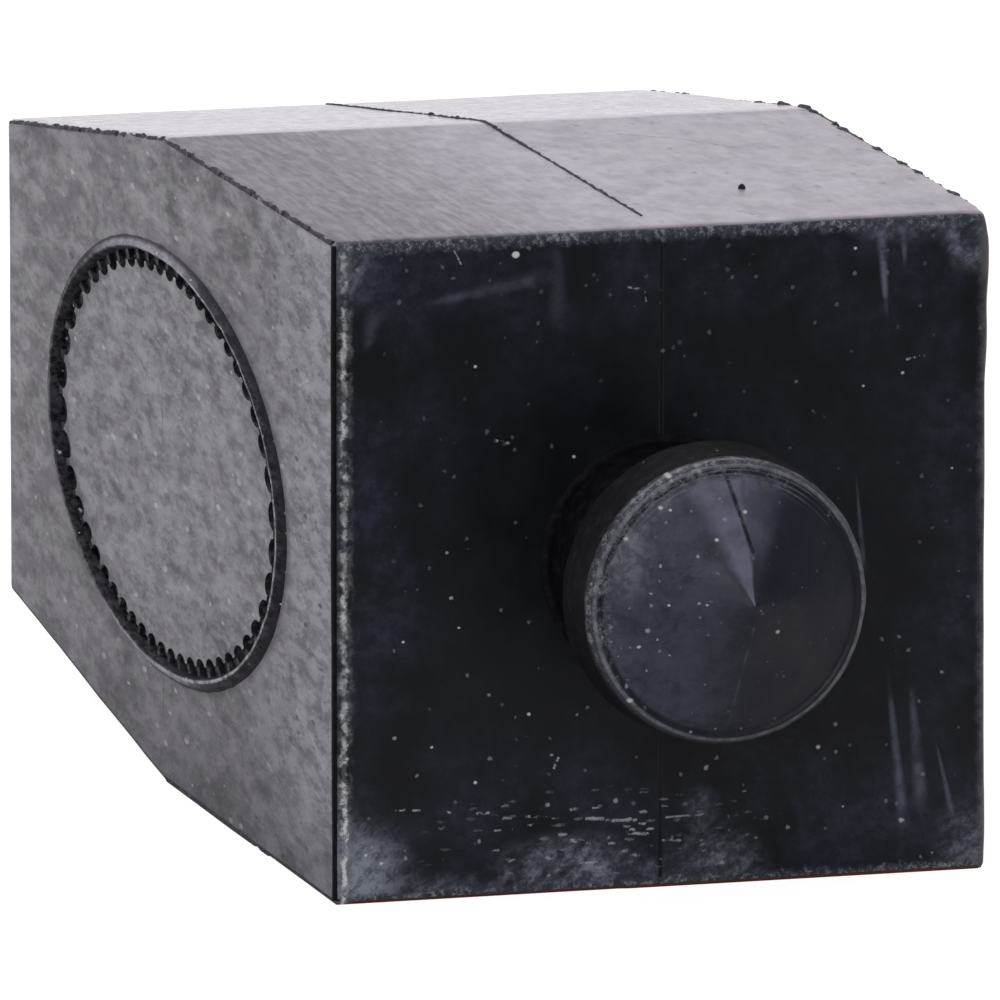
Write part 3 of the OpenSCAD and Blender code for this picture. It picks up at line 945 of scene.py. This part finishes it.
def plug_rubber():
    """Slate grey on the cone with painted light on its left and painted reflections and shade, black round the neck,
    with dust along the rim and painted shade in its groove.
    """
    finish = Finish("rubber on the plug", 0.48, 0.32)
    fade, cloud = finish.fade, finish.cloud
    reach = finish.vector("LENGTH", finish.from_front)
    face = fade(finish.y, -20.6, -21.4)
    broad = fade(cloud(4, 5, 0.6, seed=60), 0.36, 0.62)
    fine = fade(cloud(0.9, 5, 0.75, seed=65), 0.38, 0.62)
    left = fade(finish.x, 3, -7)
    # painted light: the face of the plug is lighter on its left, towards the light
    slate = finish.tint((0.030, 0.030, 0.040), (0.066, 0.070, 0.102), left)
    slate = finish.tint(slate, (0.020, 0.021, 0.032), finish.both(fade(broad, 1, 0), 0.7))
    slate = finish.tint(slate, (0.085, 0.088, 0.116), finish.both(fine, left, 0.5))
    finish.coat((0.004, 0.004, 0.006))
    finish.coat(slate, face)
    # painted shade in the dark quarter beside the tip, and painted reflections in the pale wedge above it and the
    # fainter one to its right
    across = finish.math("SUBTRACT", finish.x, 0.9)
    above = finish.math("SUBTRACT", finish.z, 0.5)
    turn = finish.math("ARCTAN2", across, above)
    dark = finish.both(fade(turn, 0.2, 0.75), fade(turn, 1.75, 1.3),
                       fade(reach, 11.5, 1.0, 0.45, 1))
    finish.coat((0.008, 0.011, 0.024), dark, face, 0.9)
    wavy = finish.math("ADD", turn, finish.math("MULTIPLY", cloud(3, 4, 0.6, seed=66), 0.25))
    wedge = finish.both(fade(wavy, -0.42, -0.15), fade(wavy, 0.22, 0.08),
                        fade(reach, 11.6, 10.8))
    finish.coat((0.19, 0.20, 0.265), wedge, finish.lift(broad, 0.6), face)
    right_wedge = finish.both(fade(wavy, 0.12, 0.2), fade(wavy, 0.62, 0.3), fade(reach, 3, 9))
    finish.coat((0.135, 0.145, 0.20), right_wedge, finish.lift(broad, 0.5), face)
    smear = finish.patch((-9.3, -22, 4.5), (2.8, 4, 5.0), 0.2)
    finish.coat((0.17, 0.175, 0.21), smear, finish.lift(fine, 0.4), face)
    crease = finish.both(finish.stroke((-0.6, 0, 12.6), (1.3, 0, 5.0), 0.5), face)
    finish.coat((0.004, 0.005, 0.010), crease, fade(fine, 0, 1, 0.95, 0.6))
    drawn = fade(cloud(0.5, 4, 0.7, (5, 1, 1), seed=67), 0.50, 0.62)
    scraped = finish.both(drawn, finish.patch((-4.5, -23, 4.0), (5.5, 5, 3.0), 0.2), face)
    finish.coat((0.018, 0.020, 0.032), scraped, 0.7)
    seam = finish.both(finish.stroke((1.0, 0, -1.5), (-0.3, 0, -12), 0.35), fade(broad, 0, 0.6), face)
    finish.coat((0.090, 0.088, 0.095), seam, 0.7)
    # rim: painted highlights in fine lines near the top, painted shade in a dark groove, a thin pale outer line, and
    # dust at the upper left
    rim = finish.both(fade(reach, 11.3, 11.5), face)
    finish.coat((0.018, 0.019, 0.027), rim, 0.85)
    lines = fade(finish.math("SINE", finish.math("MULTIPLY", reach, 15)), 0.2, 0.95)
    upper = finish.both(fade(reach, 10.4, 11.0), fade(finish.z, 5, 10),
                        fade(finish.y, -20.2, -20.8))
    finish.coat((0.14, 0.145, 0.17), lines, upper, finish.lift(broad, 0.3))
    pale = finish.both(fade(reach, 11.95, 12.1), fade(reach, 12.45, 12.25),
                       fade(finish.y, -20.4, -20.9))
    finish.coat((0.19, 0.195, 0.215), pale, finish.lift(fine, 0.45))
    grit = fade(cloud(0.8, 5, 0.8, seed=61), 0.46, 0.60)
    upper_left = fade(finish.math("SUBTRACT", finish.z, finish.x), 1, 12)
    dust_and_painted_light = finish.both(fade(reach, 9.8, 12.0), fade(finish.y, -19.9, -20.8), upper_left)
    finish.coat((0.26, 0.265, 0.28), dust_and_painted_light, grit, finish.lift(fine, 0.3))
    for spacing, radius, share, seed in ((0.8, 0.20, 0.40, 61), (1.6, 0.30, 0.45, 62)):
        dust = finish.both(finish.specks(spacing, radius, share, seed), finish.lift(face, 0.1))
        finish.coat((0.45, 0.45, 0.46), dust, finish.lift(left, 0.3))
    dust = finish.either(*(finish.patch((x, -23, z), (radius, 4, radius * 0.8), 0.4) for x, z, radius in PLUG_DUST))
    finish.coat((0.7, 0.7, 0.7), dust)
    finish.gloss(fade(cloud(2, 4, seed=63), 0.3, 0.7, 0.40, 0.54))
    finish.relief(cloud(0.9, 4, 0.6, seed=64), 0.05)
    finish.relief(finish.math("SUBTRACT", 1.0, crease), 0.12)
    return finish


def neck_rubber():
    """Clean black rubber round the neck and the side of the head, which lie in shade."""
    finish = Finish("rubber round the neck", 0.6, 0.12)
    fine = finish.fade(finish.cloud(1.2, 5, 0.7, seed=70), 0.45, 0.70)
    finish.coat((0.003, 0.003, 0.005))
    finish.coat((0.012, 0.012, 0.017), fine)
    finish.coat((0.20, 0.20, 0.21), finish.specks(1.8, 0.22, 0.25, 72))
    finish.relief(finish.cloud(0.9, 4, 0.6, seed=71), 0.05)
    return finish


# rubbed patches on the mounting face: middle, reach across and up, inner part that is even, strength
PATCHES = [((-28.5, -28.5), (8, 9), 0.2, 1), ((-19, -29.8), (12, 3.0), 0.3, 0.6), ((-8.5, -27.8), (9, 4.2), 0.3, 1),
           ((-4, -29.5), (6, 3.5), 0.4, 1), ((5, -28.8), (6, 5.8), 0.2, 1), ((3.8, -23.5), (2.2, 3.4), 0.3, 0.6),
           ((28.5, -27.0), (4.5, 4.5), 0.2, 0.6), ((28.6, 27.6), (3.4, 4), 0.3, 1),
           ((22.5, 29.6), (7.5, 2.8), 0.2, 1), ((-27.6, 27), (3.4, 3.6), 0.3, 0.5)]
# marks on the mounting face: from, to, width, in millimetres
SCRATCHES = [((-24.2, -21.4), (-23.5, -21.4), 0.3), ((-22.7, -21.5), (-22.1, -21.5), 0.26),
             ((-19.9, -21.7), (-19.3, -21.9), 0.3), ((-16.8, -22.1), (-15.8, -22.1), 0.36),
             ((-12.3, -22.6), (-9.5, -22.9), 0.32), ((-6.8, -23.1), (-5.3, -23.2), 0.4),
             ((-4.9, -23.4), (-2.1, -23.5), 0.4), ((-3.1, -24.6), (-1.2, -24.8), 0.4),
             ((-8.2, -25.0), (-6.2, -25.3), 0.5), ((-7.6, -27.1), (-5.9, -27.1), 0.3),
             ((-9.4, -17.5), (-9.8, -18.4), 0.3), ((0.5, -23.4), (3.6, -23.3), 0.25),
             ((0.7, -25.4), (2.1, -25.6), 0.35), ((22.6, 16.7), (24.4, 17.0), 0.3),
             ((-15.2, 11.3), (-14.0, 11.0), 0.35), ((-18.9, 28.4), (-18.3, 27.2), 0.2),
             ((-3.0, 24.4), (-1.9, 24.2), 0.25), ((-1.5, 23.9), (-1.4, 23.1), 0.2)]
# wipes: from, to, width at the wide end, strength
WIPES = [((-22.5, 23.6), (-9.0, 26.0), 2.6, 0.36), ((-9.6, 29.5), (-9.4, 20.5), 3.4, 0.2),
         ((-27.0, 19.5), (-26.0, 24.0), 3.0, 0.25), ((-28.6, 24.5), (-26.6, 29.0), 1.4, 0.7),
         ((20.75, 20.2), (20.0, 30.5), 1.7, 0.9), ((22.35, 24.6), (22.2, 30.0), 1.4, 0.8),
         ((20.9, -11.0), (22.6, -27.0), 1.8, 0.6), ((23.0, -11.5), (24.2, -25.0), 2.2, 0.5),
         ((25.3, -17.5), (27.2, -25.5), 1.0, 0.5), ((17.9, 7.0), (18.8, -3.0), 0.9, 0.4)]
# larger grains of dust on the mounting face, and on the plug: across, up, radius
DUST = [(-19.2, -2.6, 0.3), (-24.4, -14.9, 0.3), (-17.0, -19.3, 0.3), (-12.1, -13.4, 0.3), (-8.0, 9.5, 0.28),
        (-17.0, 18.0, 0.28), (-23.6, -6.3, 0.25), (-18.5, -5.3, 0.22), (14.5, -17.8, 0.35), (12.4, 15.2, 0.24),
        (22.2, 15.5, 0.28), (17.8, 26.9, 0.28), (-19.6, 1.5, 0.25), (-21.0, -15.9, 0.25), (-25.6, -26.1, 0.3),
        (18.6, 14.5, 0.22), (26.8, 6.7, 0.2), (16.8, -23.3, 0.2), (-27.0, -25.3, 0.3), (-10.0, -17.2, 0.25)]
PLUG_DUST = [(-5.4, 11.5, 0.5), (3.4, -2.1, 0.34), (-6.3, 8.8, 0.3), (1.0, 8.3, 0.26), (-1.8, 6.1, 0.24),
             (-9.4, 6.2, 0.3), (-5.5, 8.6, 0.2), (-3.0, 0.6, 0.2), (-8.5, -3.3, 0.2), (1.5, 0.1, 0.3),
             (-6.1, 0.5, 0.18), (-9.0, -8.2, 0.4)]
# hairs on the sides: from, to, each as distance from the mounting face and height
SIDE_HAIRS = [((9, -15), (3, -18)), ((13, 2), (11, -0.5)), ((22, -21), (17, -22.5)), ((11, 15), (8, 16)),
              ((7, 5), (5, 2)), ((16, -12), (11, -15)), ((5, -6), (3.5, -9)), ((8, -20), (4, -21)),
              ((97, 3), (93, 4.5))]


set_camera()
set_floor()
set_room()
set_lamp("overhead", (-0.25, 0.45, 1.0), (0, 0.05, 0), 1.0, 2.5)
set_lamp("fill", (-0.5, -1.2, 0.7), (0, 0, 0), 0.8, 5.2, (0.95, 0.98, 1.06))

front = front_rubber()
side = side_rubber()
top = top_rubber()
edge = edge_rubber()
groove = groove_rubber()
crest = bead_rubber()
cone = plug_rubber()
shade = neck_rubber()

block = make_block()
finish_piece(block, front, side, top, edge, groove, shade)
paint(block, EDGE, lambda f: True)
paint(block, FRONT, lambda f: f.normal.y < -0.3)
paint(block, SIDE, lambda f: f.normal.y > 0.995 or abs(f.normal.x) > 0.995 or f.normal.z < -0.986)
paint(block, TOP, lambda f: f.normal.z > 0.75)
paint(block, SIDE, lambda f: abs(f.normal.x) > 0.75 and f.normal.z > 0.1)
# painted shade: the rounded edge between the mounting face and the left side takes the dark, dull rubber of the neck
paint(block, SHADE, lambda f: f.center.x < -29 * MM and -0.95 < f.normal.y < -0.05 and abs(f.normal.z) < 0.3)
swell_corner(block)
press_noise(block, "waves", 30, 0.35)
level_foot(block)
for cutter in (make_channel(), make_pits()):
    for finish in (front, side, top, edge, groove, shade):
        cutter.data.materials.append(finish.material)
    solo(cutter)
    paint(cutter, GROOVE, lambda f: True)
    cut(block, cutter)
settle(block)

bead = make_bead()
finish_piece(bead, crest)
settle(bead, 60)

plug = make_plug()
finish_piece(plug, cone, shade)
paint(plug, 1, lambda f: f.center.y > -20.2 * MM)
settle(plug, 40)

flash = make_flash()
finish_piece(flash, edge)

for piece in (block, bead, plug, flash):
    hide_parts("rubber_buffer")
    print(piece.name, len(piece.data.polygons), "faces")
